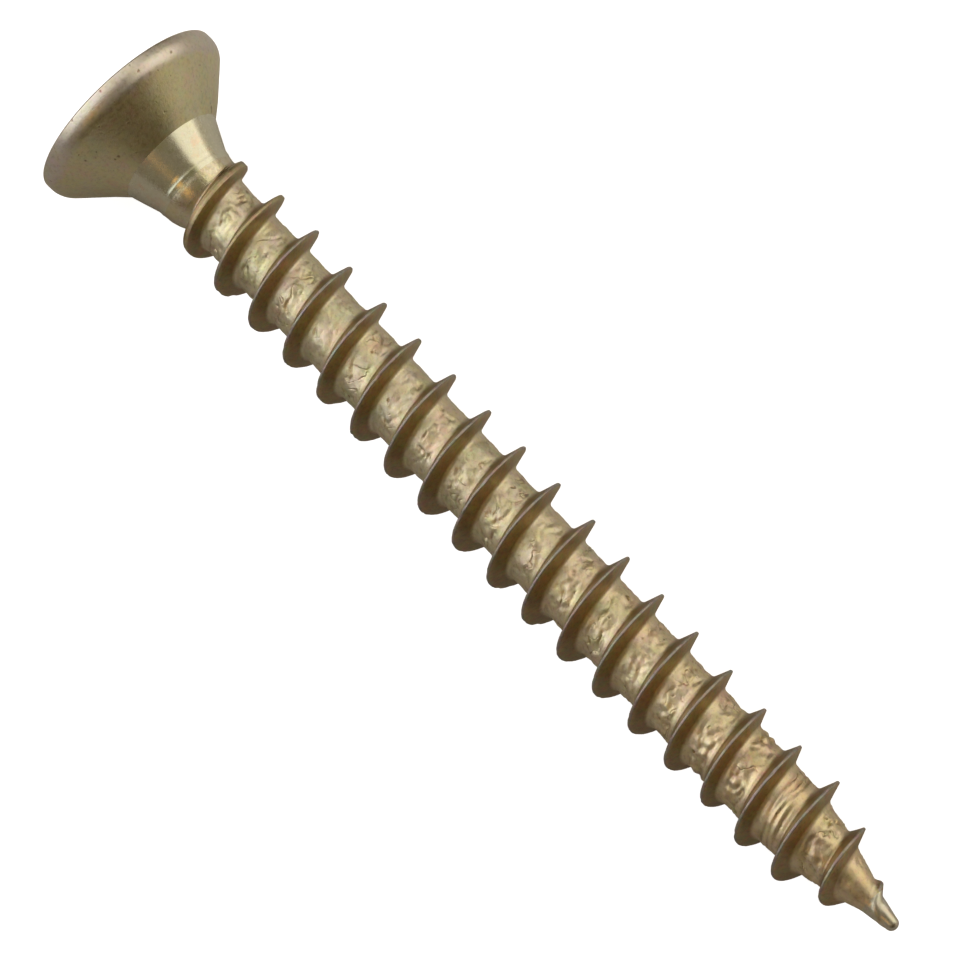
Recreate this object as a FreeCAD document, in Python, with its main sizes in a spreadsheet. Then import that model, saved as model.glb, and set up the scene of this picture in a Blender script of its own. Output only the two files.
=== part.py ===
"""Countersunk wood screw, 4 x 40 mm, fully threaded, with a cross recess.

Millimetres. The origin is the centre of the head's flat top. +X runs along the screw to its tip,
and +Z is up with the screw lying on its side. Angles round the axis are counted from +Y towards +Z.

The real screw is one forging. It is divided here where its form changes, and the sub-parts meet
face to face: head, neck, collar, core, point and nib along the axis, and the four lengths of
thread that stand on them.
"""
import FreeCAD, Part
import Sketcher
import math
import os

doc = FreeCAD.newDocument("wood_screw")

# ---------------------------------------------------------------- driving dimensions
sheet = doc.addObject("Spreadsheet::Sheet", "Dims")
DIMENSIONS = [
    ("overall_length", 40.0, "head's flat top to the tip"),
    ("head_diameter", 7.72, "over the rim"),
    ("rim_edge_radius", 0.1, "rounding between the flat top and the rim"),
    ("rim_shoulder_radius", 1.0, "rounding between the rim and the seat cone"),
    ("seat_start", 0.62, "where the rim's line and the seat cone would cross"),
    ("seat_end", 2.434, "foot of the 90 degree seat cone"),
    ("neck_end", 3.6, "foot of the slimmer cone under the head"),
    ("collar_diameter", 3.1, "plain shank between neck and thread"),
    ("collar_end", 4.17, "end of the plain shank"),
    ("core_start", 4.5, "where the core reaches its own diameter"),
    ("core_diameter", 2.66, "thread root"),
    ("thread_diameter", 4.04, "over the crests"),
    ("pitch", 1.79, "crest to crest along the axis"),
    ("crest_width", 0.15, "flat on the ridge's crest"),
    ("flank_slope", 0.364, "tangent of half the 40 degree thread angle"),
    ("ridge_depth", 0.75, "ridge profile, crest to below the root"),
    ("thread_start", 4.41, "first crest above the axis' +Y side"),
    ("lead_in_radius", 1.70, "crest radius where the thread begins"),
    ("full_turns", 16, "turns at full height"),
    ("point_start", 35.0, "where the core begins to taper"),
    ("point_curve_radius", 20.5, "curve of the tapering core"),
    ("nib_start", 38.74, "end of the curved taper"),
    ("nib_radius", 0.447, "radius there"),
    ("nib_end", 39.8, "where the slim nib turns into its rounded end"),
    ("nib_end_radius", 0.24, "radius there"),
    ("nib_round", 0.244, "radius of the rounded end"),
    ("point_mid_crest", 1.58, "crest radius one turn into the point"),
    ("point_last_crest", 0.78, "crest radius where the thread ends"),
    ("tip_ridge_depth", 0.62, "ridge profile on the last turn"),
    ("recess_span", 4.4, "cross recess, wing tip to wing tip at the top"),
    ("recess_foot_span", 2.3, "the same at the foot of the wings"),
    ("wing_width", 1.12, "wing at the top"),
    ("wing_foot_width", 0.86, "wing at its foot"),
    ("wing_depth", 1.95, "depth of the wings"),
    ("pilot_radius", 1.22, "round pilot of the recess at the top"),
    ("pilot_foot_radius", 0.95, "pilot at the foot of the wings"),
    ("recess_depth", 2.3, "deepest point of the recess"),
    ("corner_reach", 1.56, "small corner flutes between the wings, from the axis"),
    ("corner_width", 0.3, "width of a corner flute"),
    ("tick_inner", 2.15, "inner end of the radial ticks on the flat top"),
    ("tick_outer", 3.1, "their outer end"),
    ("tick_width", 0.16, "their width"),
    ("tick_depth", 0.1, "their depth"),
]
for row, (alias, value, note) in enumerate(DIMENSIONS, start=1):
    sheet.set("A%d" % row, alias)
    sheet.set("B%d" % row, str(value))
    sheet.set("C%d" % row, note)
    sheet.setAlias("B%d" % row, alias)
doc.recompute()

PARTS = []


def value_of(formula):
    """The number that a formula of the sheet's cells gives now."""
    result = sheet.evalExpression(formula)
    return float(getattr(result, "Value", result))


def new_body(label):
    """An empty body for one sub-part, whose label names its file."""
    body = doc.addObject("PartDesign::Body", label)
    body.Label = label
    PARTS.append(body)
    return body


def origin_plane(body, role):
    return [item for item in body.Origin.OriginFeatures if item.Role == role][0]


def outline(body, name, corners, arcs=None, plane="XY_Plane"):
    """A closed sketch through corners, each a pair of formulas, one for each sketch axis.

    On the XY plane the first is the distance along the screw and the second the radius. arcs
    gives the radius of an edge that bulges outwards, by the number of the corner it starts at.
    """
    arcs = arcs or {}
    sketch = body.newObject("Sketcher::SketchObject", name)
    sketch.AttachmentSupport = (origin_plane(body, plane), [""])
    sketch.MapMode = "FlatFace"
    places = [FreeCAD.Vector(value_of(u), value_of(v), 0) for u, v in corners]
    count = len(places)
    start_of, end_of = {}, {}
    for i, start in enumerate(places):
        end = places[(i + 1) % count]
        if i in arcs:
            radius, chord = value_of(arcs[i]), end - start
            inward = FreeCAD.Vector(chord.y, -chord.x, 0).normalize()
            sagging = (radius ** 2 - (chord.Length / 2) ** 2) ** 0.5
            centre = (start + end) * 0.5 + inward * sagging
            circle = Part.Circle(centre, FreeCAD.Vector(0, 0, 1), radius)
            angles = [math.atan2(spot.y - centre.y, spot.x - centre.x) for spot in (end, start)]
            edge = sketch.addGeometry(Part.ArcOfCircle(circle, *angles), False)
            start_of[i], end_of[i] = (edge, 2), (edge, 1)
            ring = sketch.addConstraint(Sketcher.Constraint("Radius", edge, radius))
            sketch.setExpression("Constraints[%d]" % ring, arcs[i])
        else:
            edge = sketch.addGeometry(Part.LineSegment(start, end), False)
            start_of[i], end_of[i] = (edge, 1), (edge, 2)
    for i in range(count):
        sketch.addConstraint(Sketcher.Constraint("Coincident", *end_of[(i - 1) % count], *start_of[i]))
    for i, formulas in enumerate(corners):
        for kind, axis, place, formula in zip(
                ("DistanceX", "DistanceY"), (-2, -1), (places[i].x, places[i].y), formulas):
            if abs(place) < 1e-9:
                sketch.addConstraint(Sketcher.Constraint("PointOnObject", *start_of[i], axis))
                continue
            held = sketch.addConstraint(Sketcher.Constraint(kind, -1, 1, *start_of[i], place))
            sketch.setExpression("Constraints[%d]" % held, formula)
    return sketch


def turned(body, name, sketch, kind="PartDesign::Revolution"):
    """The sketch turned once round the screw's axis."""
    feature = body.newObject(kind, name)
    feature.Profile = sketch
    feature.ReferenceAxis = (sketch, ["H_Axis"])
    feature.Angle = 360
    sketch.Visibility = False
    doc.recompute()
    return feature


def round_edge(body, name, base, place, radius):
    """A fillet on the circular edge at place, (distance along the screw, radius)."""
    along, reach = place
    names = []
    for number, edge in enumerate(base.Shape.Edges, start=1):
        box = edge.BoundBox
        flat = box.XLength < 1e-6 and abs(box.XMin - along) < 1e-4
        if flat and abs(box.YMax - reach) < 1e-4 and abs(box.YMin + reach) < 1e-4:
            names.append("Edge%d" % number)
    fillet = body.newObject("PartDesign::Fillet", name)
    fillet.Base = (base, names)
    fillet.setExpression("Radius", radius)
    doc.recompute()
    return fillet


def solid_of_revolution(label, corners, arcs=None):
    body = new_body(label)
    turned(body, label + "_turned", outline(body, label + "_outline", corners, arcs))
    return body


# ---------------------------------------------------------------- head
# Flat top, rounded rim and 90 degree seat cone, with the cross recess sunk into the top.

head = new_body("countersunk_head")
seat_foot = "Dims.head_diameter / 2 - (Dims.seat_end - Dims.seat_start)"
head_outline = outline(head, "head_outline", [
    ("0", "0"),
    ("0", "Dims.head_diameter / 2"),
    ("Dims.seat_start", "Dims.head_diameter / 2"),
    ("Dims.seat_end", seat_foot),
    ("Dims.seat_end", "0"),
])
head_turned = turned(head, "head_turned", head_outline)
rim = value_of("Dims.head_diameter / 2")
top_edge = round_edge(head, "rim_edge", head_turned, (0, rim), "Dims.rim_edge_radius")
round_edge(head, "rim_shoulder", top_edge, (value_of("Dims.seat_start"), rim), "Dims.rim_shoulder_radius")

# The recess: a round pilot with a pointed foot, four tapering wings, and small flutes in the
# corners between them.
pilot = outline(head, "pilot_outline", [
    ("0", "0"),
    ("0", "Dims.pilot_radius"),
    ("Dims.wing_depth", "Dims.pilot_foot_radius"),
    ("Dims.recess_depth", "0"),
])
turned(head, "pilot", pilot, "PartDesign::Groove")


def cross_corners(half_span, half_width):
    """The twelve corners of a cross, as formulas across the two sketch axes."""
    s, w = half_span, half_width
    return [(s, "-(%s)" % w), (s, w), (w, w), (w, s), ("-(%s)" % w, s), ("-(%s)" % w, w),
            ("-(%s)" % s, w), ("-(%s)" % s, "-(%s)" % w), ("-(%s)" % w, "-(%s)" % w),
            ("-(%s)" % w, "-(%s)" % s), (w, "-(%s)" % s), (w, "-(%s)" % w)]


wings_top = outline(head, "wings_top", cross_corners(
    "Dims.recess_span / 2", "Dims.wing_width / 2"), plane="YZ_Plane")
wings_foot = outline(head, "wings_foot", cross_corners(
    "Dims.recess_foot_span / 2", "Dims.wing_foot_width / 2"), plane="YZ_Plane")
wings_foot.setExpression("AttachmentOffset.Base.z", "Dims.wing_depth")
wings = head.newObject("PartDesign::SubtractiveLoft", "wings")
wings.Profile = wings_top
wings.Sections = [wings_foot]
wings.Ruled = True
doc.recompute()

flutes_top = outline(head, "flutes_top", cross_corners(
    "Dims.corner_reach", "Dims.corner_width / 2"), plane="YZ_Plane")
flutes_foot = outline(head, "flutes_foot", cross_corners(
    "Dims.pilot_foot_radius", "Dims.corner_width / 2"), plane="YZ_Plane")
for flutes in (flutes_top, flutes_foot):
    flutes.AttachmentOffset = FreeCAD.Placement(
        FreeCAD.Vector(0, 0, 0), FreeCAD.Rotation(FreeCAD.Vector(0, 0, 1), 45))
flutes_foot.setExpression("AttachmentOffset.Base.z", "Dims.wing_depth * 0.8")
corner_flutes = head.newObject("PartDesign::SubtractiveLoft", "corner_flutes")
corner_flutes.Profile = flutes_top
corner_flutes.Sections = [flutes_foot]
corner_flutes.Ruled = True
doc.recompute()

# Four shallow radial ticks on the flat top, between the wings.
tick_outline = outline(head, "tick_outline", [
    ("Dims.tick_inner", "-Dims.tick_width / 2"),
    ("Dims.tick_outer", "-Dims.tick_width / 2"),
    ("Dims.tick_outer", "Dims.tick_width / 2"),
    ("Dims.tick_inner", "Dims.tick_width / 2"),
], plane="YZ_Plane")
tick_outline.AttachmentOffset = FreeCAD.Placement(
    FreeCAD.Vector(0, 0, 0), FreeCAD.Rotation(FreeCAD.Vector(0, 0, 1), 45))
tick = head.newObject("PartDesign::Pocket", "tick")
tick.Profile = tick_outline
tick.Reversed = True
tick.setExpression("Length", "Dims.tick_depth")
doc.recompute()
ticks = head.newObject("PartDesign::PolarPattern", "ticks")
ticks.Originals = [tick]
ticks.Axis = (tick_outline, ["N_Axis"])
ticks.Angle = 360
ticks.Occurrences = 4
head.Tip = ticks
doc.recompute()

# ---------------------------------------------------------------- neck and collar
# A slimmer cone carries the head down to a short plain collar, which steps down to the core.
neck = solid_of_revolution("neck", [
    ("Dims.seat_end", "0"),
    ("Dims.seat_end", seat_foot),
    ("Dims.neck_end", "Dims.collar_diameter / 2"),
    ("Dims.neck_end", "0"),
])
collar = solid_of_revolution("shank_collar", [
    ("Dims.neck_end", "0"),
    ("Dims.neck_end", "Dims.collar_diameter / 2"),
    ("Dims.collar_end", "Dims.collar_diameter / 2"),
    ("Dims.core_start", "Dims.core_diameter / 2"),
    ("Dims.core_start", "0"),
])

# ---------------------------------------------------------------- core, point and nib
core = solid_of_revolution("threaded_core", [
    ("Dims.core_start", "0"),
    ("Dims.core_start", "Dims.core_diameter / 2"),
    ("Dims.point_start", "Dims.core_diameter / 2"),
    ("Dims.point_start", "0"),
])
point = solid_of_revolution("point", [
    ("Dims.point_start", "0"),
    ("Dims.point_start", "Dims.core_diameter / 2"),
    ("Dims.nib_start", "Dims.nib_radius"),
    ("Dims.nib_start", "0"),
], arcs={1: "Dims.point_curve_radius"})
nib = solid_of_revolution("nib", [
    ("Dims.nib_start", "0"),
    ("Dims.nib_start", "Dims.nib_radius"),
    ("Dims.nib_end", "Dims.nib_end_radius"),
    ("Dims.overall_length", "0"),
], arcs={2: "Dims.nib_round"})


# ---------------------------------------------------------------- thread
# One right-hand ridge. It rises out of the collar over a turn, runs at full height along the
# core, and sinks with the point over its last two turns.
def ridge(body, name, start, crest, turns, depth="Dims.ridge_depth", growth="0", backwards=False):
    """Turns of ridge whose crest begins at start and grows in radius by growth, forwards along
    the screw or backwards from the tip.
    """
    half_crest = "Dims.crest_width / 2"
    half_foot = "(%s + %s * Dims.flank_slope)" % (half_crest, depth)
    section = outline(body, name + "_section", [
        ("%s - %s" % (start, half_foot), "%s - %s" % (crest, depth)),
        ("%s - %s" % (start, half_crest), crest),
        ("%s + %s" % (start, half_crest), crest),
        ("%s + %s" % (start, half_foot), "%s - %s" % (crest, depth)),
    ])
    helix = body.newObject("PartDesign::AdditiveHelix", name)
    helix.Profile = section
    helix.ReferenceAxis = (section, ["H_Axis"])
    helix.Mode = "pitch-turns-angle"
    helix.Reversed = backwards
    helix.setExpression("Pitch", "Dims.pitch")
    helix.setExpression("Turns", turns)
    helix.setExpression("Angle", "atan((%s) / (%s * Dims.pitch))" % (growth, turns))
    doc.recompute()
    return helix


def clear_core(body, name, corners, arcs=None):
    """Takes out of a length of thread what lies inside the sub-parts it stands on."""
    turned(body, name, outline(body, name + "_outline", corners, arcs), "PartDesign::Groove")


full_crest = "Dims.thread_diameter / 2"
first_full_turn = "Dims.thread_start + Dims.pitch"
first_point_turn = "Dims.thread_start + (1 + Dims.full_turns) * Dims.pitch"

runout = new_body("thread_runout")
ridge(runout, "rising_ridge", "Dims.thread_start", "Dims.lead_in_radius", "1",
      growth=full_crest + " - Dims.lead_in_radius")
clear_core(runout, "runout_seat", [
    ("Dims.neck_end", "0"),
    ("Dims.neck_end", "Dims.collar_diameter / 2"),
    ("Dims.collar_end", "Dims.collar_diameter / 2"),
    ("Dims.core_start", "Dims.core_diameter / 2"),
    ("Dims.thread_start + 2 * Dims.pitch", "Dims.core_diameter / 2"),
    ("Dims.thread_start + 2 * Dims.pitch", "0"),
])

thread = new_body("thread")
ridge(thread, "full_ridge", first_full_turn, full_crest, "Dims.full_turns")
clear_core(thread, "thread_seat", [
    ("Dims.thread_start", "0"),
    ("Dims.thread_start", "Dims.core_diameter / 2"),
    ("Dims.point_start + Dims.pitch", "Dims.core_diameter / 2"),
    ("Dims.point_start + Dims.pitch", "0"),
])

# The point's two turns sink at different rates, so each is a length of its own, drawn from the
# end nearer the tip.
for label, end, last_crest, first_crest, depth in (
        ("point_thread", first_point_turn + " + Dims.pitch", "Dims.point_mid_crest", full_crest,
         "Dims.ridge_depth"),
        ("tip_thread", first_point_turn + " + 2 * Dims.pitch", "Dims.point_last_crest",
         "Dims.point_mid_crest", "Dims.tip_ridge_depth")):
    turn = new_body(label)
    ridge(turn, label + "_ridge", end, last_crest, "1", depth,
          growth="%s - %s" % (first_crest, last_crest), backwards=True)
    clear_core(turn, label + "_seat", [
        ("Dims.point_start - Dims.pitch", "0"),
        ("Dims.point_start - Dims.pitch", "Dims.core_diameter / 2"),
        ("Dims.point_start", "Dims.core_diameter / 2"),
        ("Dims.nib_start", "Dims.nib_radius"),
        ("Dims.nib_end", "Dims.nib_end_radius"),
        ("Dims.nib_end", "0"),
    ], arcs={2: "Dims.point_curve_radius"})

# ---------------------------------------------------------------- checks and files
doc.recompute()
for item in doc.Objects:
    if "Invalid" in item.State or "Error" in item.State:
        raise RuntimeError("%s: %s" % (item.Label, item.State))
os.makedirs("parts", exist_ok=True)
for body in PARTS:
    shape = body.Shape
    if shape.isNull() or not shape.isValid() or len(shape.Solids) != 1:
        raise RuntimeError("%s has no single valid solid" % body.Label)
    shape.exportStep("parts/%s.step" % body.Label)
    print("%-18s %9.4f mm3  x %.3f to %.3f" % (
        body.Label, shape.Volume, shape.BoundBox.XMin, shape.BoundBox.XMax))
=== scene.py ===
import math
import bpy
import numpy as np
from mathutils import Matrix, Vector, noise


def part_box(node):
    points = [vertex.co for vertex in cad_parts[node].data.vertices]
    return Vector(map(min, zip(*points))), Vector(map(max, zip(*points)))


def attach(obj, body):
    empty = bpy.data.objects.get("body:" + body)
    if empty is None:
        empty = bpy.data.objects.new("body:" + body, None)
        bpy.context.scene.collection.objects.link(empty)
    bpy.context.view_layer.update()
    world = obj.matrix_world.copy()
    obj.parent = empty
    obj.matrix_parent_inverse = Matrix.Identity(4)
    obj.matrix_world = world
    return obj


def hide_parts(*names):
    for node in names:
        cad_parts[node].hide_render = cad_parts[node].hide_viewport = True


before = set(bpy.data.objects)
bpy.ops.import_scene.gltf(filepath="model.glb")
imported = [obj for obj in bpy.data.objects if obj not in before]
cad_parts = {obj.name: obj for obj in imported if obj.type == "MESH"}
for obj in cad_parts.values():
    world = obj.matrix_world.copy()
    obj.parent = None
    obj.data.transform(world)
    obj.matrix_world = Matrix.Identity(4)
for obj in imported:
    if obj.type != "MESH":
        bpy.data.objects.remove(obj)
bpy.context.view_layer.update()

# A countersunk wood screw, 4 x 40 mm, yellow zinc plated, lying on its side. Metres. The screw's
# axis is +X, from the centre of the head's flat top to the tip. Angles round the axis are counted
# from +Y towards +Z, and the thread is right-hand.

MM = 0.001

# ------------------------------------------------------------------------------------------
# HEAD
# Cold-forged from the wire's end in a cupped die: a flat top, a rounded rim and a 90 degree
# seat cone. The cross recess is punched into the top in the same blow. Satin yellow zinc.


def deselect():
    if bpy.context.object and bpy.context.object.mode != "OBJECT":
        bpy.ops.object.mode_set(mode="OBJECT")
    bpy.ops.object.select_all(action="DESELECT")


def work_on(piece):
    deselect()
    piece.select_set(True)
    bpy.context.view_layer.objects.active = piece


def apply_all(piece):
    work_on(piece)
    for modifier in list(piece.modifiers):
        bpy.ops.object.modifier_apply(modifier=modifier.name)


def arc(centre, radius, start, end, steps):
    """Stations (along the axis, radius) on an arc, its angles in degrees from +X to outwards."""
    angles = [math.radians(start + (end - start) * i / steps) for i in range(steps + 1)]
    return [(centre[0] + radius * math.cos(a), centre[1] + radius * math.sin(a)) for a in angles]


def straight(start, end, steps):
    """Stations on a straight taper, without its first one."""
    return [(start[0] + (end[0] - start[0]) * i / steps, start[1] + (end[1] - start[1]) * i / steps)
            for i in range(1, steps + 1)]


def drawn_out(name, stations, sides):
    """A closed round bar: a disc at the first station, drawn out and resized to each of the rest."""
    deselect()
    along, radius = stations[0]
    bpy.ops.mesh.primitive_circle_add(vertices=sides, radius=radius, fill_type="NGON",
                                      location=(along, 0, 0), rotation=(0, math.pi / 2, 0))
    bar = bpy.context.object
    bar.name = name
    bpy.ops.object.transform_apply(location=True, rotation=True, scale=True)
    bpy.ops.object.mode_set(mode="EDIT")
    bpy.ops.mesh.select_all(action="SELECT")
    for next_along, next_radius in stations[1:]:
        bpy.ops.mesh.extrude_region_move(TRANSFORM_OT_translate={"value": (next_along - along, 0, 0)})
        grow = next_radius / radius
        bpy.ops.transform.resize(value=(1, grow, grow), center_override=(next_along, 0, 0))
        along, radius = next_along, next_radius
    bpy.ops.mesh.select_all(action="SELECT")
    bpy.ops.mesh.normals_make_consistent(inside=False)
    bpy.ops.object.mode_set(mode="OBJECT")
    return bar


head_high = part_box("countersunk_head")[1]
rim_radius = head_high.z
seat_end = head_high.x
seat_start = 0.62 * MM
edge_round = 0.10 * MM
shoulder_round = 0.8 * MM
seat_foot = rim_radius - (seat_end - seat_start)
head_sides = 320

shoulder_run = shoulder_round * math.tan(math.radians(22.5))
shoulder_centre = (seat_start - shoulder_run, rim_radius - shoulder_round)
head_stations = arc((edge_round, rim_radius - edge_round), edge_round, 180, 90, 7)
head_stations += arc(shoulder_centre, shoulder_round, 90, 45, 14)
head_stations += straight(head_stations[-1], (seat_end, seat_foot), 24)
head = drawn_out("head", head_stations, head_sides)

punch_start = -0.2 * MM
recess_lip = 0.045 * MM


def punch(target, spans, foot_spans, depth, turn=0):
    """Sinks a tapering square-cornered punch into the flat top, and takes it away again. It leaves
    a small rolled lip where the recess meets the top."""
    lip_spans = [span + 2 * recess_lip for span in spans]
    stations = [(punch_start, lip_spans), (0, lip_spans), (recess_lip, spans), (depth, foot_spans)]
    deselect()
    bpy.ops.mesh.primitive_plane_add(size=1, location=(punch_start, 0, 0), rotation=(0, math.pi / 2, 0))
    tool = bpy.context.object
    bpy.ops.object.transform_apply(location=True, rotation=True, scale=True)
    bpy.ops.object.mode_set(mode="EDIT")
    bpy.ops.mesh.select_all(action="SELECT")
    bpy.ops.transform.resize(value=(1, *lip_spans), center_override=(0, 0, 0))
    for (here, now), (there, wanted) in zip(stations, stations[1:]):
        bpy.ops.mesh.extrude_region_move(TRANSFORM_OT_translate={"value": (there - here, 0, 0)})
        bpy.ops.transform.resize(value=(1, wanted[0] / now[0], wanted[1] / now[1]),
                                 center_override=(there, 0, 0))
    bpy.ops.mesh.select_all(action="SELECT")
    bpy.ops.mesh.normals_make_consistent(inside=False)
    bpy.ops.transform.rotate(value=turn, orient_axis="X", center_override=(0, 0, 0))
    bpy.ops.object.mode_set(mode="OBJECT")
    sink(target, tool)


def sink(target, tool):
    cut = target.modifiers.new("punch", "BOOLEAN")
    cut.object = tool
    cut.operation = "DIFFERENCE"
    cut.solver = "EXACT"
    apply_all(target)
    bpy.data.objects.remove(tool)


# Four wings, a round pilot with a pointed foot, a small flute in each corner, and four ticks.
recess_span, recess_foot_span = 4.4 * MM, 2.3 * MM
wing_width, wing_foot_width = 1.12 * MM, 0.86 * MM
wing_depth, recess_depth = 1.95 * MM, 2.3 * MM
pilot_radius, pilot_foot_radius = 1.22 * MM, 0.95 * MM
flute_reach, flute_width = 1.56 * MM, 0.3 * MM
tick_inner, tick_outer, tick_width, tick_depth = 2.15 * MM, 3.1 * MM, 0.16 * MM, 0.1 * MM

pilot_lip_radius = pilot_radius + recess_lip
pilot_point_radius, pilot_sides = 0.02 * MM, 48
pilot = drawn_out("pilot", [(punch_start, pilot_lip_radius), (0, pilot_lip_radius),
                            (recess_lip, pilot_radius), (wing_depth, pilot_foot_radius),
                            (recess_depth, pilot_point_radius)], pilot_sides)
sink(head, pilot)
punch(head, (recess_span, wing_width), (recess_foot_span, wing_foot_width), wing_depth)
punch(head, (wing_width, recess_span), (wing_foot_width, recess_foot_span), wing_depth)
flute_depth = 0.8 * wing_depth
for turn in (45, 135):
    punch(head, (2 * flute_reach, flute_width), (2 * pilot_foot_radius, flute_width), flute_depth,
          math.radians(turn))

for turn in (45, 135, 225, 315):
    deselect()
    angle = math.radians(turn)
    reach = (tick_inner + tick_outer) / 2
    bpy.ops.mesh.primitive_cube_add(size=1, rotation=(angle, 0, 0),
                                    location=(0, reach * math.cos(angle), reach * math.sin(angle)),
                                    scale=(2 * tick_depth, tick_outer - tick_inner, tick_width))
    sink(head, bpy.context.object)
work_on(head)
bpy.ops.object.shade_smooth_by_angle(angle=math.radians(28))


class Nodes:
    """Adds nodes to a material and joins them up. A socket is named, or i and its number."""

    def __init__(self, material):
        self.tree = material.node_tree
        self.shader = self.tree.nodes["Principled BSDF"]

    def add(self, kind, settings=None, **sockets):
        node = self.tree.nodes.new(kind)
        for key, value in (settings or {}).items():
            setattr(node, key, value)
        for key, value in sockets.items():
            numbered = key[0] == "i" and key[1:].isdigit()
            socket = node.inputs[int(key[1:])] if numbered else node.inputs[key]
            if isinstance(value, bpy.types.NodeSocket):
                self.tree.links.new(value, socket)
            else:
                socket.default_value = value
        return node

    def ramp(self, source, stops):
        node = self.add("ShaderNodeValToRGB", Fac=source)
        elements = node.color_ramp.elements
        while len(elements) < len(stops):
            elements.new(0.5)
        for element, (place, colour) in zip(elements, stops):
            element.position = place
            element.color = (*colour, 1) if len(colour) == 3 else colour
        return node.outputs["Color"]

    def blend(self, share, first, second, how="MIX"):
        node = self.add("ShaderNodeMix", {"data_type": "RGBA", "blend_type": how}, i0=share)
        for index, value in ((6, first), (7, second)):
            if isinstance(value, bpy.types.NodeSocket):
                self.tree.links.new(value, node.inputs[index])
            else:
                node.inputs[index].default_value = (*value, 1)
        return node.outputs[2]

    def maths(self, how, first, second=0.0):
        return self.add("ShaderNodeMath", {"operation": how}, i0=first, i1=second).outputs[0]

    def clouds(self, place, scale, detail, roughness=0.5, output="Fac"):
        node = self.add("ShaderNodeTexNoise", Vector=place, Scale=scale, Detail=detail,
                        Roughness=roughness)
        return node.outputs[output]


champagne = (0.79, 0.71, 0.49)
olive = (0.68, 0.67, 0.42)
rose = (0.84, 0.65, 0.47)
pale_zinc = (0.76, 0.69, 0.63)


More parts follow.
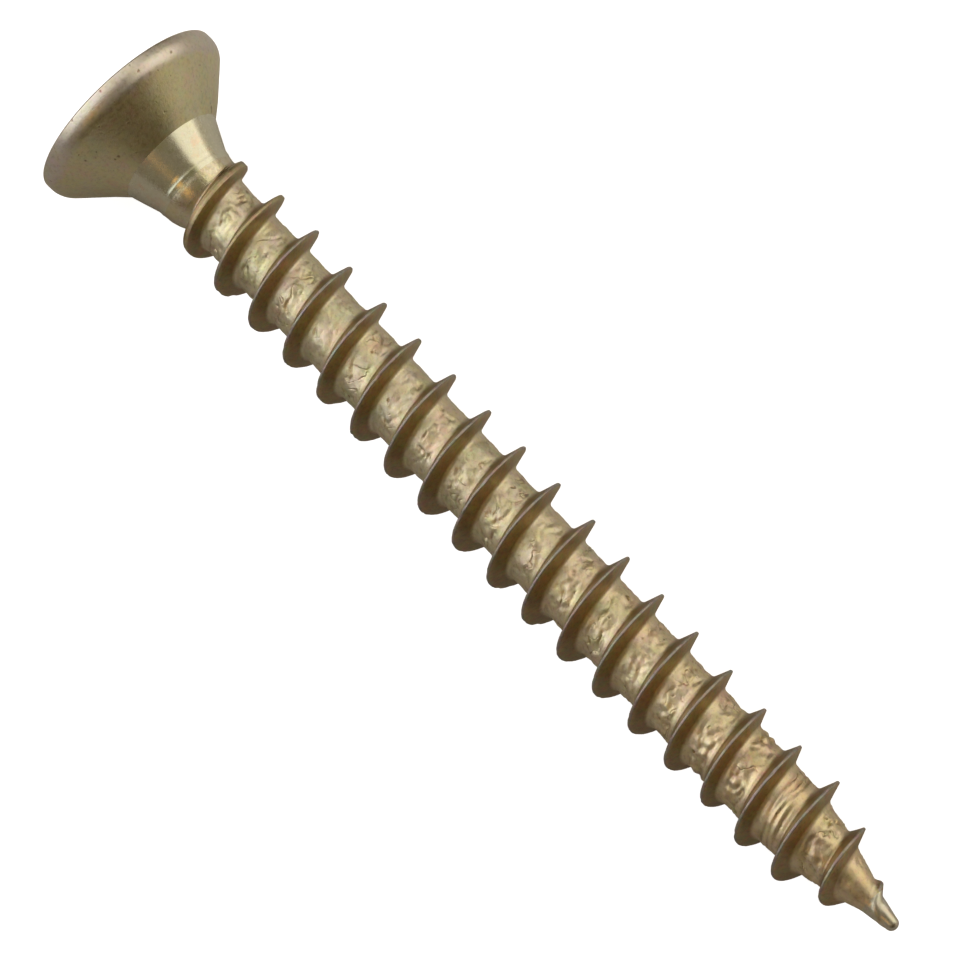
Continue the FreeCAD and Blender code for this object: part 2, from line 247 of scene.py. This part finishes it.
def yellow_zinc(name, roughness, grain, film=champagne, mottle=0.45, worn_edge=False,
                threaded=False):
    """Bright zinc under a yellow chromate film: mottled olive to rose, with a fine matt grain."""
    material = bpy.data.materials.new(name)
    material.use_nodes = True
    n = Nodes(material)
    place = n.add("ShaderNodeTexCoord").outputs["Object"]
    drift = n.clouds(place, 700.0, 5.0, 0.65)
    colour = n.ramp(drift, [(0.34, olive), (0.46, film), (0.55, film), (0.66, rose)])
    if worn_edge:
        # The rim is rubbed back to pale zinc, in patches.
        across = n.add("ShaderNodeVectorMath", {"operation": "MULTIPLY"}, i0=place, i1=(0, 1, 1))
        reach = n.add("ShaderNodeVectorMath", {"operation": "LENGTH"}, i0=across.outputs[0])
        patchy = n.maths("ADD", n.maths("MULTIPLY", reach.outputs["Value"], 0.5 / rim_radius),
                         n.maths("MULTIPLY", drift, 0.1))
        worn = n.ramp(patchy, [(0.520, (0, 0, 0)), (0.542, (1, 1, 1))])
        colour = n.blend(n.maths("MULTIPLY", worn, 0.75), colour, pale_zinc)
        # A few small dark knocks.
        knock = n.ramp(n.clouds(place, 3600.0, 1.0), [(0.72, (0, 0, 0)), (0.77, (1, 1, 1))])
        colour = n.blend(n.maths("MULTIPLY", knock, 0.7), colour, (0.30, 0.22, 0.13))
    fleck = n.clouds(place, 7500.0, 4.0, 0.7)
    height = n.maths("SUBTRACT", fleck, knock) if worn_edge else fleck
    rough = n.ramp(fleck, [(0.3, (roughness * 0.85,) * 3), (0.7, (roughness * 1.15,) * 3)])
    if threaded:
        # The film is thicker, and more golden, towards the point.
        along = n.maths("MULTIPLY", n.add("ShaderNodeSeparateXYZ", Vector=place).outputs["X"], 25.0)
        golden = n.ramp(along, [(0.42, (0, 0, 0)), (0.85, (0.65, 0.65, 0.65))])
        colour = n.blend(golden, colour, (0.83, 0.66, 0.41))
        made = {name: n.add("ShaderNodeAttribute", {"attribute_name": name}).outputs["Fac"]
                for name in ("ridge", "trailing", "edge", "worked", "folds", "plain")}
        # The flanks are painted darker brown, a painted shade for the dark reflections between the
        # turns, most of all on the side facing the head, and the crest is rubbed.
        flank = n.ramp(made["ridge"], [(0.03, (0, 0, 0)), (0.22, (1, 1, 1)), (0.7, (1, 1, 1)),
                                       (1.0, (0.7, 0.7, 0.7))])
        colour = n.blend(n.maths("MULTIPLY", flank, 0.85), colour, (0.46, 0.34, 0.165))
        # Painted shade: the flank facing the head is painted darker still.
        colour = n.blend(n.maths("MULTIPLY", made["trailing"], 0.7), colour, (0.30, 0.22, 0.12))
        crest = n.ramp(made["edge"], [(0.90, (0, 0, 0)), (0.98, (1, 1, 1))])
        colour = n.blend(n.maths("MULTIPLY", crest, 0.85), colour, (0.44, 0.40, 0.36))
        rough = n.blend(crest, rough, (0.5, 0.5, 0.5))
        rough = n.blend(made["plain"], rough, (0.27, 0.27, 0.27))
        # Fine wormy creases, here and there down the middle of the root.
        warp = n.clouds(place, 1100.0, 2.0, output="Color")
        wander = n.add("ShaderNodeVectorMath", {"operation": "MULTIPLY_ADD"}, i0=warp,
                       i1=(0.0007, 0.0007, 0.0007), i2=place).outputs[0]
        fold = n.clouds(wander, 1500.0, 1.5)
        line = n.ramp(n.maths("ABSOLUTE", n.maths("SUBTRACT", fold, 0.5)),
                      [(0.0, (1, 1, 1)), (0.012, (0.6, 0.6, 0.6)), (0.035, (0, 0, 0))])
        where = n.ramp(n.clouds(place, 900.0, 2.0), [(0.50, (0, 0, 0)), (0.64, (1, 1, 1))])
        crease = n.maths("MULTIPLY", n.maths("MULTIPLY", line, where), made["worked"])
        pit = n.ramp(n.clouds(place, 2300.0, 2.0), [(0.68, (0, 0, 0)), (0.74, (1, 1, 1))])
        pit = n.maths("MULTIPLY", pit, made["worked"])
        # Painted shade: the creases, pits and the hollows between the folds are painted dark brown.
        hollow_shade = n.maths("MAXIMUM", n.maths("MULTIPLY", crease, 0.6), n.maths("MULTIPLY", pit, 0.75))
        hollow_shade = n.maths("MAXIMUM", hollow_shade, n.maths("MULTIPLY", made["folds"], 0.75))
        colour = n.blend(hollow_shade, colour, (0.32, 0.18, 0.07))
        sunk = n.maths("MULTIPLY", n.maths("MAXIMUM", crease, pit), 1.6)
        height = n.maths("SUBTRACT", fleck, sunk)
    smudge = n.clouds(place, 1900.0, 4.0, 0.6, "Color")
    colour = n.blend(0.6 * mottle, colour, smudge, "OVERLAY")
    tint = n.clouds(place, 6000.0, 3.0, 0.8, "Color")
    colour = n.blend(0.6 * mottle, colour, tint, "OVERLAY")
    shade = n.ramp(fleck, [(0.30, (0.72, 0.69, 0.64)), (0.5, (0.96, 0.95, 0.94)), (0.7, (1, 1, 1))])
    colour = n.blend(1.6 * mottle, colour, shade, "MULTIPLY")
    n.tree.links.new(colour, n.shader.inputs["Base Color"])
    n.shader.inputs["Metallic"].default_value = 1.0
    n.tree.links.new(rough, n.shader.inputs["Roughness"])
    bump = n.add("ShaderNodeBump", Strength=grain, Distance=0.02 * MM, Height=height)
    n.tree.links.new(bump.outputs["Normal"], n.shader.inputs["Normal"])
    return material


def finish_with(piece, material):
    piece.data.materials.clear()
    piece.data.materials.append(material)


lean_angle = math.radians(12.9)
lean_at_top, lean_most, lean_most_at, lean_end_at = 0.055, 0.135, 1.9, 3.95


def set_over(piece):
    """The heading die sat a tenth of a millimetre off the wire, so the head leans out to one side.
    The lean, in millimetres, grows to the middle of the neck and has gone by the thread."""
    out = Vector((0, math.cos(lean_angle), math.sin(lean_angle)))
    for vertex in piece.data.vertices:
        along = vertex.co.x / MM
        if along < lean_most_at:
            lean = lean_at_top + (lean_most - lean_at_top) * along / lean_most_at
        else:
            left = max(0.0, (lean_end_at - along) / (lean_end_at - lean_most_at))
            lean = lean_most * left ** 1.3
        vertex.co += out * lean * MM


set_over(head)
head_film = (0.77, 0.71, 0.45)
finish_with(head, yellow_zinc("satin yellow zinc", 0.36, 0.4, film=head_film, worn_edge=True))
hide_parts("countersunk_head")
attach(head, "root")

# ------------------------------------------------------------------------------------------
# NECK AND COLLAR
# Under the seat cone the blank narrows on a slimmer cone to a short plain collar, with a fine
# raised line where the forging die's two halves met. Same wire and plating, brighter than the head.

collar_start, collar_cut = 3.6 * MM, 3.95 * MM
collar_radius = 1.585 * MM
collar_end_radius = 1.53 * MM
line_place = 3.79 * MM
line_half = 0.07 * MM
line_height = 0.008 * MM

line_start, line_end = line_place - line_half, line_place + line_half
fall = (collar_radius - collar_end_radius) / (collar_cut - collar_start)
neck_stations = [(seat_end, seat_foot)]
neck_stations += straight((seat_end, seat_foot), (collar_start, collar_radius), 22)
for place, rise in ((line_start, 0.0), (line_place - 0.5 * line_half, 0.8), (line_place, 1.0),
                    (line_place + 0.5 * line_half, 0.75), (line_end, 0.0)):
    neck_stations.append((place, collar_radius - fall * (place - collar_start) + rise * line_height))
neck_stations += straight(neck_stations[-1], (collar_cut, collar_end_radius), 4)
neck = drawn_out("neck_and_collar", neck_stations, 256)
work_on(neck)
bpy.ops.object.shade_smooth_by_angle(angle=math.radians(28))
set_over(neck)
neck_film = (0.78, 0.76, 0.57)
finish_with(neck, yellow_zinc("bright yellow zinc", 0.25, 0.1, film=neck_film, mottle=0.25))
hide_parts("neck", "shank_collar")
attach(neck, "root")

# ------------------------------------------------------------------------------------------
# THREADED SHANK AND POINT
# Rolled between flat dies: one right-hand ridge, squeezed up out of the core. The core between
# turns is left crinkled where the metal folded, smooth only beside the ridge. The die pinches
# the point, where the ridge sinks to nothing.

pitch = 1.79 * MM
core_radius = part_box("threaded_core")[1].z
crest_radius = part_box("thread")[1].z
ridge_height = crest_radius - core_radius
mid_crest = 20.555 * MM
crest_half = 0.045 * MM
crest_round = 0.04 * MM
flank = math.tan(math.radians(20))
root_fillet = 0.14 * MM
steps_per_turn = 112
turns_before, turns_after = 10, 12


def smooth_line(points, places):
    """A curve through a few (place, value) points, with no corners."""
    xs = np.array([p[0] for p in points], float)
    ys = np.array([p[1] for p in points], float)
    slopes = np.gradient(ys, xs)
    places = np.clip(places, xs[0], xs[-1])
    i = np.clip(np.searchsorted(xs, places) - 1, 0, len(xs) - 2)
    run = xs[i + 1] - xs[i]
    s = (places - xs[i]) / run
    return ((2 * s ** 3 - 3 * s ** 2 + 1) * ys[i] + (s ** 3 - 2 * s ** 2 + s) * run * slopes[i]
            + (3 * s ** 2 - 2 * s ** 3) * ys[i + 1] + (s ** 3 - s ** 2) * run * slopes[i + 1])


def half_ridge():
    """Half of the ridge's outline, crest to the middle of the root, as (offset, radius)."""
    crest_bend = crest_round * math.tan(math.radians(35))
    outline = [(0.0, crest_radius)]
    centre = (crest_half - crest_bend, crest_radius - crest_round)
    outline += arc(centre, crest_round, 90, 20, 4)
    foot = crest_half + ridge_height * flank
    fillet_run = root_fillet * math.tan(math.radians(35))
    centre = (foot + fillet_run, core_radius + root_fillet)
    fillet = arc(centre, root_fillet, 200, 270, 5)
    outline += straight(outline[-1], fillet[0], 4)[:-1] + fillet
    outline += straight(fillet[-1], (pitch / 2, core_radius), 11)
    return outline


half = half_ridge()
section = [(-offset, radius) for offset, radius in reversed(half[1:])] + half
first_crest = mid_crest - turns_before * pitch

# One pitch of the ridge's outline, drawn from a single point and swept round by a screw modifier.
deselect()
bpy.ops.mesh.primitive_plane_add(size=0.1 * MM, location=(0, 0, 0))
bar = bpy.context.object
bar.name = "rolled_bar"
bpy.ops.object.mode_set(mode="EDIT")
bpy.ops.mesh.select_mode(type="VERT")
bpy.ops.mesh.select_all(action="SELECT")
bpy.ops.mesh.merge(type="CENTER")
bpy.ops.transform.translate(value=(first_crest + section[0][0], section[0][1], 0))
for (here, height), (next_here, next_height) in zip(section, section[1:]):
    bpy.ops.mesh.extrude_vertices_move(
        TRANSFORM_OT_translate={"value": (next_here - here, next_height - height, 0)})
bpy.ops.object.mode_set(mode="OBJECT")
rolled = bar.modifiers.new("rolled", "SCREW")
rolled.axis = "X"
rolled.angle = 2 * math.pi
rolled.screw_offset = pitch
rolled.iterations = turns_before + turns_after
rolled.steps = rolled.render_steps = steps_per_turn
apply_all(bar)

count = len(bar.data.vertices)
place = np.empty(count * 3)
bar.data.vertices.foreach_get("co", place)
place = place.reshape(-1, 3)
along = place[:, 0]
radius = np.hypot(place[:, 1], place[:, 2])
around = np.arctan2(place[:, 2], place[:, 1]) % (2 * math.pi)
turn = np.round((along - first_crest - pitch * around / (2 * math.pi)) / pitch)
crest_at = first_crest + pitch * (turn + around / (2 * math.pi))
offset = along - crest_at

# The core: collar, thread root, and the curved taper of the point. Millimetres.
core_line = [(3.0, 1.58), (3.95, 1.53), (4.2, 1.495), (4.45, 1.42), (4.75, 1.295), (5.2, 1.26),
             (7.0, 1.28), (9.0, 1.305), (12.0, 1.325), (20.0, 1.33), (30.0, 1.345), (34.4, 1.345),
             (35.0, 1.325), (36.0, 1.175), (36.75, 1.015), (37.5, 0.83), (38.1, 0.665),
             (38.74, 0.447), (39.1, 0.385), (39.75, 0.262), (42.0, 0.2)]
# The ridge's crest: it rises out of the collar over its first turn and a half, wanders by a few
# hundredths along the bar where the dies wore, and sinks with the point.
crest_line = [(3.0, 1.2), (3.7, 1.45), (4.05, 1.60), (4.47, 1.745), (5.37, 1.81), (6.26, 1.945),
              (7.15, 2.005), (8.5, 2.0), (10.5, 1.98), (12.7, 2.0), (15.0, 2.03), (17.0, 2.065),
              (20.5, 2.08), (24.0, 2.07), (26.5, 2.035), (28.7, 1.995), (30.5, 1.94), (31.8, 1.895),
              (32.8, 1.90), (34.3, 1.985), (35.0, 2.02), (35.7, 1.90), (36.6, 1.61), (37.5, 1.33),
              (38.05, 0.99), (38.45, 0.775), (38.62, 0.66), (38.8, 0.50), (39.0, 0.435),
              (39.3, 0.36), (39.6, 0.26), (42.0, 0.1)]
core = smooth_line(core_line, along / MM) * MM
crest = smooth_line(crest_line, crest_at / MM) * MM
share = (radius - core_radius) / ridge_height
full = core + share * (crest_radius - core)
ease = 0.03 * MM
blunted = np.minimum(full, crest) - ease * (np.log1p(np.exp(-np.abs(full - crest) / ease)) - 0.3)
low = np.where(crest_at < 7.4 * MM, np.minimum(blunted, full), core + share * (crest - core))
formed = np.where(crest > core, np.maximum(low, core), core)
rise = np.maximum(crest - core, 0.02 * MM)
edge = np.clip((formed - core) / rise, 0, 1) * np.clip(rise / (0.12 * MM), 0, 1)
# ridge and trailing mark where the material paints shade on the flanks; trailing is the flank facing
# the head.
ridge = edge * np.clip(rise / (0.5 * MM), 0, 1)
trailing = np.clip(rise / (0.3 * MM), 0, 1)
trailing *= np.clip((offset / MM + 0.44) / 0.12, 0, 1) * np.clip(-20 * offset / MM, 0, 1)
edge *= np.clip((crest_at / MM - 5.0) / 2, 0.2, 1)
plain = np.clip((4.8 - along / MM) / 0.3, 0, 1)
place[:, 1] *= formed / radius
place[:, 2] *= formed / radius

# The crinkled core. Dents and folds die out beside the ridge, and grow coarser towards the point:
# round pebbles near the last full turns, then long folds that follow the thread on to the taper.
beside = np.clip((np.abs(offset) / MM - 0.42) / 0.2, 0, 1)
beside = beside * beside * (3 - 2 * beside)
beside *= np.clip((along / MM - 4.9) / 0.5, 0, 1) * np.clip((38.0 - along / MM) / 0.8, 0, 1)
late = np.clip((along / MM - 18) / 12, 0, 1)
folded = np.clip(1.5 - np.abs(along / MM - 34.4) / 0.8, 0, 1)
pebbly = np.clip(1.5 - np.abs(along / MM - 31.9) / 0.8, 0, 1)
dent = np.zeros(count)
folds = np.zeros(count)
# Heights and depths of the crinkles, in millimetres.
broad_swell, small_lump, pebble_rise, groove_depth = 0.022, 0.026, 0.075, 0.045
round_pebble, pebble_gap = 0.42, 0.07
strand_height, strand_lump = 0.055, 0.014
groove_width = 0.06
noise.seed_set(4)       # otherwise the clock sets the swirl
for i in np.nonzero(beside > 0.01)[0]:
    spot = Vector(place[i]) / MM
    swirl = spot + 0.25 * noise.noise_vector(spot * 1.9)
    broad = noise.noise(spot * 1.25)
    lump = noise.fractal(swirl * 2.3, 0.8, 2.1, 3)
    pebble = noise.voronoi(swirl * 2.9)[0][0]
    ball = max(0.0, 0.3 - noise.voronoi(spot * 2.6 + Vector((0, 0, 0.4)))[0][0] ** 2)
    fold = noise.noise(swirl * 1.9 + Vector((7.0, 0, 0)))
    where = noise.noise(spot * 0.8 + Vector((0, 0, 4.0)))
    groove = math.exp(-(fold / groove_width) ** 2) * min(max(0.5 + 2.4 * where, 0), 1)
    strand = noise.noise(Vector((offset[i] / MM * 6.4, around[i] * 1.3 + turn[i] * 6.28, 3.0)))
    crinkle = broad_swell * broad + small_lump * lump - groove_depth * groove
    crinkle += pebble_rise * (0.3 - pebble) * (0.2 + late[i])
    crinkle = crinkle * (1 - pebbly[i]) + (round_pebble * ball - pebble_gap) * pebbly[i]
    strands = strand_height * strand + strand_lump * lump
    dent[i] = crinkle * (1 - folded[i]) + strands * folded[i]
    # folds marks the hollows in the grooves, between the strands and between the pebbles, where the
    # material paints shade.
    in_groove = (0.4 + 0.35 * late[i]) * groove * (1 - folded[i]) * (1 - pebbly[i])
    between_strands = folded[i] * min(max(-0.15 - 3.0 * strand, 0), 1)
    between_pebbles = pebbly[i] * min(max(0.6 - 5 * ball, 0), 1)
    folds[i] = max(in_groove, between_strands, between_pebbles)
shift = dent * beside * MM
# Burrs and small knocks along the crest.
burr_height, knock_depth = 0.014 * MM, 0.16 * MM
burr = np.clip((edge - 0.8) / 0.2, 0, 1)
for i in np.nonzero(burr > 0.01)[0]:
    spot = Vector(place[i]) / MM
    rough_edge = noise.noise(spot * 3.4) + noise.noise(spot * 9.0)
    knock = max(0.0, noise.noise(spot * 1.9 + Vector((0, 9.0, 0))) - 0.38)
    shift[i] += burr[i] * (burr_height * rough_edge - knock_depth * knock)
scale = (formed + shift) / formed
place[:, 1] *= scale
place[:, 2] *= scale
bar.data.vertices.foreach_set("co", place.reshape(-1))
for name, values in (("ridge", ridge), ("trailing", trailing), ("edge", edge), ("plain", plain),
                     ("worked", beside), ("folds", folds * beside)):
    attribute = bar.data.attributes.new(name, "FLOAT", "POINT")
    attribute.data.foreach_set("value", values.astype(np.float32))
bar.data.update()

work_on(bar)
bpy.ops.object.mode_set(mode="EDIT")
bpy.ops.mesh.select_mode(type="VERT")
bpy.ops.mesh.select_all(action="SELECT")
bpy.ops.mesh.remove_doubles(threshold=0.002 * MM)
bpy.ops.mesh.normals_make_consistent(inside=False)
bpy.ops.object.mode_set(mode="OBJECT")

point_cut = 34.9 * MM
nib_cut = 38.74 * MM


def sawn(piece, start, end):
    """Saws a bar square at both ends and closes the cuts."""
    work_on(piece)
    for cut, inner in ((start, True), (end, False)):
        bpy.ops.object.mode_set(mode="EDIT")
        bpy.ops.mesh.select_all(action="SELECT")
        bpy.ops.mesh.bisect(plane_co=(cut, 0, 0), plane_no=(1, 0, 0), use_fill=True, threshold=1e-8,
                            clear_inner=inner, clear_outer=not inner)
        bpy.ops.mesh.select_all(action="SELECT")
        bpy.ops.mesh.normals_make_consistent(inside=False)
        bpy.ops.object.mode_set(mode="OBJECT")


pieces = []
for name, start, end in (("threaded_shank", collar_cut, point_cut),
                         ("pinched_point", point_cut, nib_cut)):
    work_on(bar)
    bpy.ops.object.duplicate()
    bpy.context.object.name = name
    sawn(bpy.context.object, start, end)
    pieces.append(bpy.context.object)
shank, point = pieces
rolled_zinc = yellow_zinc("rolled yellow zinc", 0.42, 0.5, mottle=0.55, threaded=True)
for piece in (shank, point):
    work_on(piece)
    bpy.ops.object.shade_smooth_by_angle(angle=math.radians(50))
    finish_with(piece, rolled_zinc)
    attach(piece, "root")
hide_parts("threaded_core", "thread_runout", "thread")
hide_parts("point", "point_thread", "tip_thread")

# ------------------------------------------------------------------------------------------
# NIB
# The last bit of wire, pinched off between the dies: a slim cone with a blunt rounded end, and the
# last trace of the ridge running out round it.

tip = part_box("nib")[1].x
nib_round = 0.25 * MM
round_start = tip - nib_round

work_on(bar)
bpy.ops.object.duplicate()
nib = bpy.context.object
nib.name = "nib_end"
sawn(nib, nib_cut, round_start)
bpy.ops.object.mode_set(mode="EDIT")
bpy.ops.mesh.select_mode(type="FACE")
bpy.ops.mesh.select_all(action="DESELECT")
bpy.ops.object.mode_set(mode="OBJECT")
for face in nib.data.polygons:
    face.select = face.center.x > round_start - 0.001 * MM and face.normal.x > 0.99
bpy.ops.object.mode_set(mode="EDIT")
here, reach = round_start, 1.0
for angle in (15, 30, 44, 57, 69, 80):      # degrees round the blunt end
    next_here = round_start + nib_round * math.sin(math.radians(angle))
    next_reach = math.cos(math.radians(angle))
    bpy.ops.mesh.extrude_region_move(TRANSFORM_OT_translate={"value": (next_here - here, 0, 0)})
    bpy.ops.transform.resize(value=(1, next_reach / reach, next_reach / reach),
                             center_override=(next_here, 0, 0))
    here, reach = next_here, next_reach
bpy.ops.object.mode_set(mode="OBJECT")
bpy.ops.object.shade_smooth_by_angle(angle=math.radians(50))
worn_film = (0.70, 0.655, 0.52)
finish_with(nib, yellow_zinc("worn zinc", 0.33, 0.35, film=worn_film))
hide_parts("nib")
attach(nib, "root")
bpy.data.objects.remove(bar)

# ------------------------------------------------------------------------------------------
# FLOOR, LIGHT AND CAMERA
# The screw lies on a pale floor, on its head's rim and on the crest of its last full turn. The
# camera sees white paper and a white backdrop. The screw reflects a greyer table and a white card.

floor_start = Vector((0.15 * MM, 0, -rim_radius))
past_the_head = 10 * MM
floor_slope = min(math.atan2(v.co.z - floor_start.z, v.co.x - floor_start.x)
                  for v in shank.data.vertices if v.co.x > past_the_head)
floor_radius = 0.9


def floor_sheet(name, drop):
    deselect()
    bpy.ops.mesh.primitive_circle_add(vertices=96, radius=floor_radius, fill_type="NGON",
                                      location=floor_start - Vector((0, 0, drop)),
                                      rotation=(0, -floor_slope, 0))
    sheet = bpy.context.object
    sheet.name = name
    return sheet


def matt(name, colour, glow):
    material = bpy.data.materials.new(name)
    material.use_nodes = True
    shader = material.node_tree.nodes["Principled BSDF"]
    shader.inputs["Base Color"].default_value = (*colour, 1)
    shader.inputs["Roughness"].default_value = 1.0
    shader.inputs["Specular IOR Level"].default_value = 0.0
    shader.inputs["Emission Color"].default_value = (1, 1, 1, 1)
    shader.inputs["Emission Strength"].default_value = glow
    return material


def seen_only(piece, camera):
    """Shows a stage piece to the camera alone, or to everything but the camera."""
    piece.visible_camera = camera
    piece.visible_diffuse = piece.visible_glossy = not camera
    piece.visible_transmission = piece.visible_shadow = not camera


table_drop, card_drop = 0.1 * MM, 0.05 * MM
paper = floor_sheet("floor_paper", 0.0)
finish_with(paper, matt("white paper", (0.8, 0.8, 0.8), 0.85))
seen_only(paper, True)
table = floor_sheet("floor_table", table_drop)
finish_with(table, matt("grey table", (0.41, 0.39, 0.375), 0.0))
seen_only(table, False)
# The card lies on the table along the screw's far side, a little under the paper's level, and
# lifts the shade there.
card_size, card_along, card_away = 0.2, 20 * MM, 102.2 * MM
card_rise = card_along * math.tan(floor_slope) - card_drop
deselect()
bpy.ops.mesh.primitive_plane_add(size=card_size, rotation=(0, -floor_slope, 0),
                                 location=floor_start + Vector((card_along, card_away, card_rise)))
card = bpy.context.object
card.name = "floor_card"
finish_with(card, matt("white card", (0.66, 0.65, 0.65), 0.0))
seen_only(card, False)
deselect()
room_radius, screw_middle = 0.95, (20 * MM, 0, 0)
bpy.ops.mesh.primitive_uv_sphere_add(segments=48, ring_count=24, radius=room_radius,
                                     location=screw_middle)
backdrop = bpy.context.object
backdrop.name = "backdrop"
finish_with(backdrop, matt("white backdrop", (0, 0, 0), 1.0))
seen_only(backdrop, True)

middle = Vector(screw_middle)
lamp_distance = 0.5
towards_camera = Vector((0.2435, -0.2169, 0.9454))
axis = Vector((1, 0, 0))
front = (towards_camera - axis * towards_camera.x).normalized()
side = front.cross(axis).normalized()


def softbox(name, lean, turned, half_run, half_sweep, strength, colour):
    """A soft light, its edges square to the screw. Angles in degrees: lean is towards the tip,
    turned is round the screw from the camera's side, and the halves are its extent each way."""
    away_round = front * math.cos(math.radians(turned)) + side * math.sin(math.radians(turned))
    away = axis * math.sin(math.radians(lean)) + away_round * math.cos(math.radians(lean))
    along = (axis - away * axis.dot(away)).normalized()
    data = bpy.data.lights.new(name, "AREA")
    data.shape = "RECTANGLE"
    data.size = math.tan(math.radians(half_run))
    data.size_y = math.tan(math.radians(half_sweep))
    data.energy = strength * math.pi * data.size * data.size_y
    data.color = colour
    lamp = bpy.data.objects.new(name, data)
    bpy.context.collection.objects.link(lamp)
    lamp.location = middle + away * lamp_distance
    lamp.rotation_mode = "QUATERNION"
    lamp.rotation_quaternion = Matrix((along, away.cross(along), away)).transposed().to_quaternion()
    lamp.visible_camera = False


softbox("near side", -33, -39, 21, 29, 1.15, (0.95, 1.0, 1.04))
softbox("far side", 8, 58, 27, 27, 0.95, (1.0, 0.95, 0.86))
softbox("far fill", 8, 92, 27, 16, 0.35, (1.0, 0.93, 0.80))
softbox("ceiling", -30, 15, 18, 22, 0.62, (1.0, 0.95, 0.88))
softbox("dim ceiling", 15, 0, 27, 76, 0.12, (1.0, 0.97, 0.84))
softbox("past the head", -50, -5, 20, 42, 0.7, (1.0, 0.95, 0.92))
softbox("warm card", 6, -30, 10, 7, 0.9, (1.0, 0.50, 0.12))
softbox("low card", 50, 98, 17, 22, 0.5, (1.0, 0.92, 0.76))
room_glow = (0.078, 0.054, 0.025, 1)
world = bpy.data.worlds.new("room")
world.use_nodes = True
world.node_tree.nodes["Background"].inputs["Color"].default_value = room_glow
bpy.context.scene.world = world

lens_mm, sensor_mm = 328.8, 36.0
distance = 302.5 * MM
aim = Vector((19.94 * MM, 0, 0))
right = Vector((0.6653, 0.7466, 0))
up = towards_camera.cross(right).normalized()
aim_left, aim_up = 0.795 * MM, 1.075 * MM
camera = bpy.data.objects.new("camera", bpy.data.cameras.new("camera"))
bpy.context.collection.objects.link(camera)
camera.data.lens, camera.data.sensor_width = lens_mm, sensor_mm
camera.data.clip_start, camera.data.clip_end = 0.01, 5.0
camera.location = aim + distance * towards_camera - aim_left * right + aim_up * up
camera.rotation_mode = "QUATERNION"
camera.rotation_quaternion = towards_camera.to_track_quat("Z", "Y")
bpy.context.scene.camera = camera
bpy.context.scene.view_settings.view_transform = "Standard"
